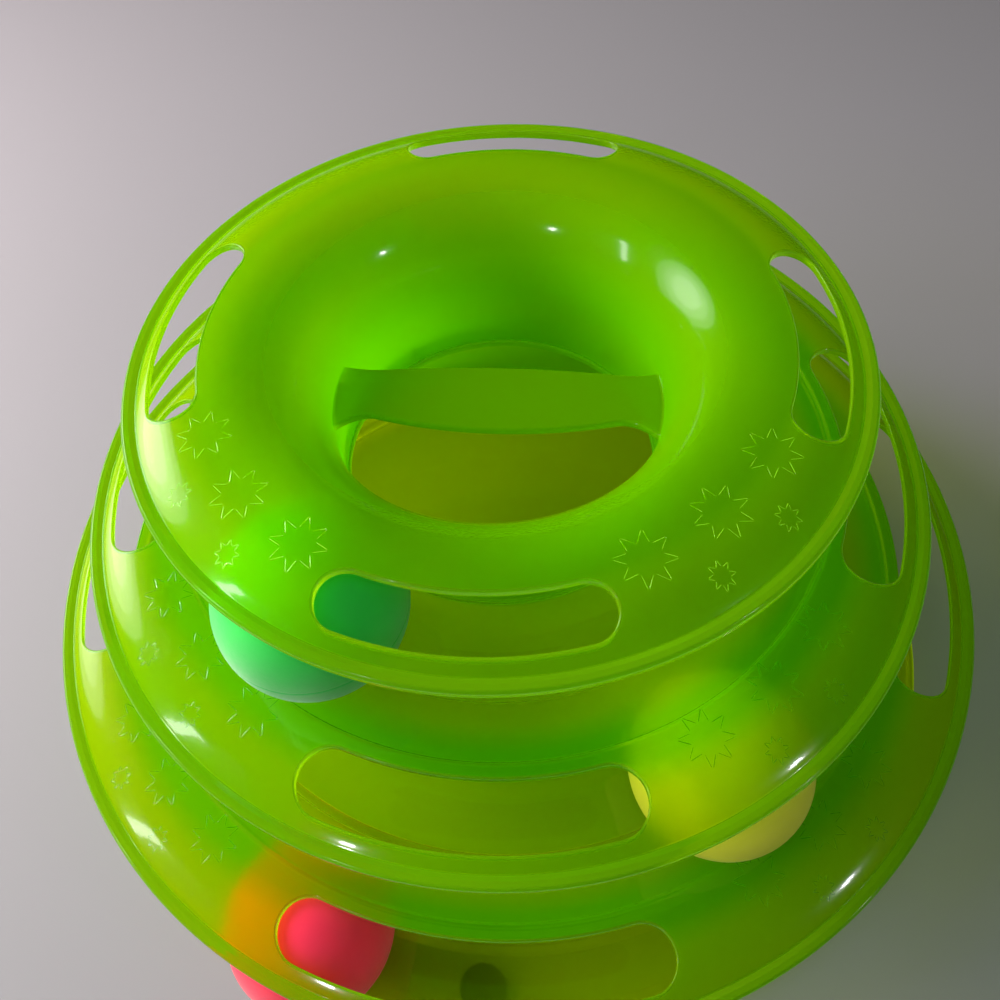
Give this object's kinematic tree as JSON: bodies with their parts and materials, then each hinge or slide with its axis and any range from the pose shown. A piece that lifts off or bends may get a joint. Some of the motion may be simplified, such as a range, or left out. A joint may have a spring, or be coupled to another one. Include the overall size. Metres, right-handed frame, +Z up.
{
  "type": "cat ball track toy",
  "caption": "Stacked round tiers of clear green plastic on a tray, with a captive ball rolling in the channel under each rim, arc slots for paws and a barred well down the middle.",
  "frame": {"origin": "centre of the footprint, on the surface the tower stands on", "axes": "+Z up along the tower's axis, +X along the bar across the well, the slots centred on X and Y, -Y the side nearest the picture's camera"},
  "size_m": [0.25, 0.25, 0.127],
  "materials": {
    "tier_plastic": "clear lime-green moulded plastic, glossy, lightly scuffed",
    "base_plastic": "clear lime-green moulded plastic",
    "rubber": "matt black rubber",
    "top_ball_plastic": "matt hollow ball, pale sea green",
    "middle_ball_plastic": "matt hollow ball, pale yellow",
    "bottom_ball_plastic": "matt hollow ball, pink"
  },
  "bodies": {
    "base": {"base_tray": "base_plastic", "rubber_feet": "rubber"},
    "lower_tier": {"lower_tier": "tier_plastic"},
    "middle_tier": {"middle_tier": "tier_plastic"},
    "top_tier": {"top_tier": "tier_plastic"},
    "top_ball": {"top_ball_upper_half": "top_ball_plastic", "top_ball_lower_half": "top_ball_plastic"},
    "middle_ball": {"middle_ball_upper_half": "middle_ball_plastic", "middle_ball_lower_half": "middle_ball_plastic"},
    "bottom_ball": {"bottom_ball_upper_half": "bottom_ball_plastic", "bottom_ball_lower_half": "bottom_ball_plastic"}
  },
  "joints": [
    {"name": "lower_tier_lift", "type": "slide", "parent": "base", "child": "lower_tier", "axis": [0, 0, 1], "range_m": [0, 0.06]},
    {"name": "middle_tier_lift", "type": "slide", "parent": "lower_tier", "child": "middle_tier", "axis": [0, 0, 1], "range_m": [0, 0.06]},
    {"name": "top_tier_lift", "type": "slide", "parent": "middle_tier", "child": "top_tier", "axis": [0, 0, 1], "range_m": [0, 0.06]},
    {"name": "bottom_ball_roll", "type": "hinge", "parent": "base", "child": "bottom_ball", "pos_m": [0, 0, 0.0255], "axis": [0, 0, 1], "continuous": true},
    {"name": "middle_ball_roll", "type": "hinge", "parent": "lower_tier", "child": "middle_ball", "pos_m": [0, 0, 0.064], "axis": [0, 0, 1], "continuous": true},
    {"name": "top_ball_roll", "type": "hinge", "parent": "middle_tier", "child": "top_ball", "pos_m": [0, 0, 0.1045], "axis": [0, 0, 1], "continuous": true}
  ]
}
